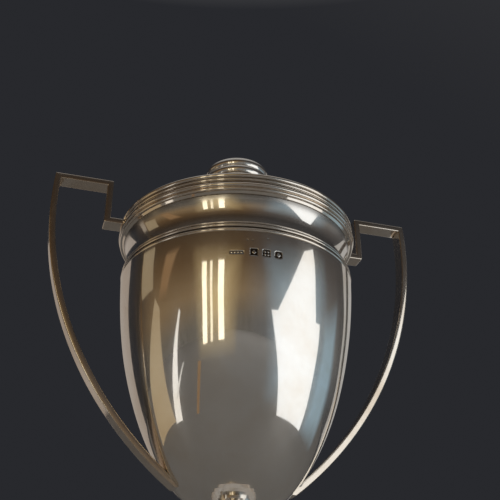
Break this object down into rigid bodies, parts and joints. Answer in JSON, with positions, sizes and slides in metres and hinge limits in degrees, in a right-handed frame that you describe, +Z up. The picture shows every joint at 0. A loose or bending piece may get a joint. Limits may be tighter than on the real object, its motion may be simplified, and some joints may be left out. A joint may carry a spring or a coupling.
{
  "type": "lidded trophy cup",
  "caption": "Egg-shaped prize cup on a stemmed foot, with stepped strip handles, reeded rims and a lift-off domed cover with a button finial.",
  "frame": {"origin": "centre of the circle on which the foot stands", "axes": "+Z up along the cup's axis, X through both handles, -Y to the front"},
  "size_m": [0.1634, 0.103, 0.224],
  "materials": {
    "bowl_silver": "polished sheet silver with faint tarnish",
    "moulding_silver": "polished reeded silver wire, darker in the grooves",
    "handle_silver": "polished silver strip with softened edges",
    "steel_fixing": "plain steel",
    "brass_fixing": "plain brass"
  },
  "bodies": {
    "cup": {"bowl": "bowl_silver", "neck_collar": "bowl_silver", "shoulder_moulding": "moulding_silver", "cup_rim": "moulding_silver", "left_handle_bracket": "handle_silver", "right_handle_bracket": "handle_silver", "left_handle_bar": "handle_silver", "right_handle_bar": "handle_silver", "bowl_boss": "brass_fixing", "calyx": "moulding_silver", "upper_stem": "bowl_silver", "stem_knop": "bowl_silver", "knop_wires": "moulding_silver", "lower_stem": "bowl_silver", "foot": "bowl_silver", "foot_step": "bowl_silver", "foot_rim": "moulding_silver", "tie_rod": "steel_fixing", "foot_washer": "steel_fixing", "foot_nut": "brass_fixing"},
    "cover": {"cover_dome": "bowl_silver", "cover_rim": "moulding_silver", "cover_bezel": "bowl_silver", "finial_seat": "moulding_silver", "finial_neck": "bowl_silver", "finial_button": "bowl_silver", "finial_cap": "bowl_silver", "finial_stud": "steel_fixing", "finial_washer": "steel_fixing", "finial_nut": "brass_fixing"}
  },
  "joints": [
    {"name": "cover_lift", "type": "slide", "parent": "cup", "child": "cover", "axis": [0, 0, 1], "range_m": [0, 0.06]}
  ]
}
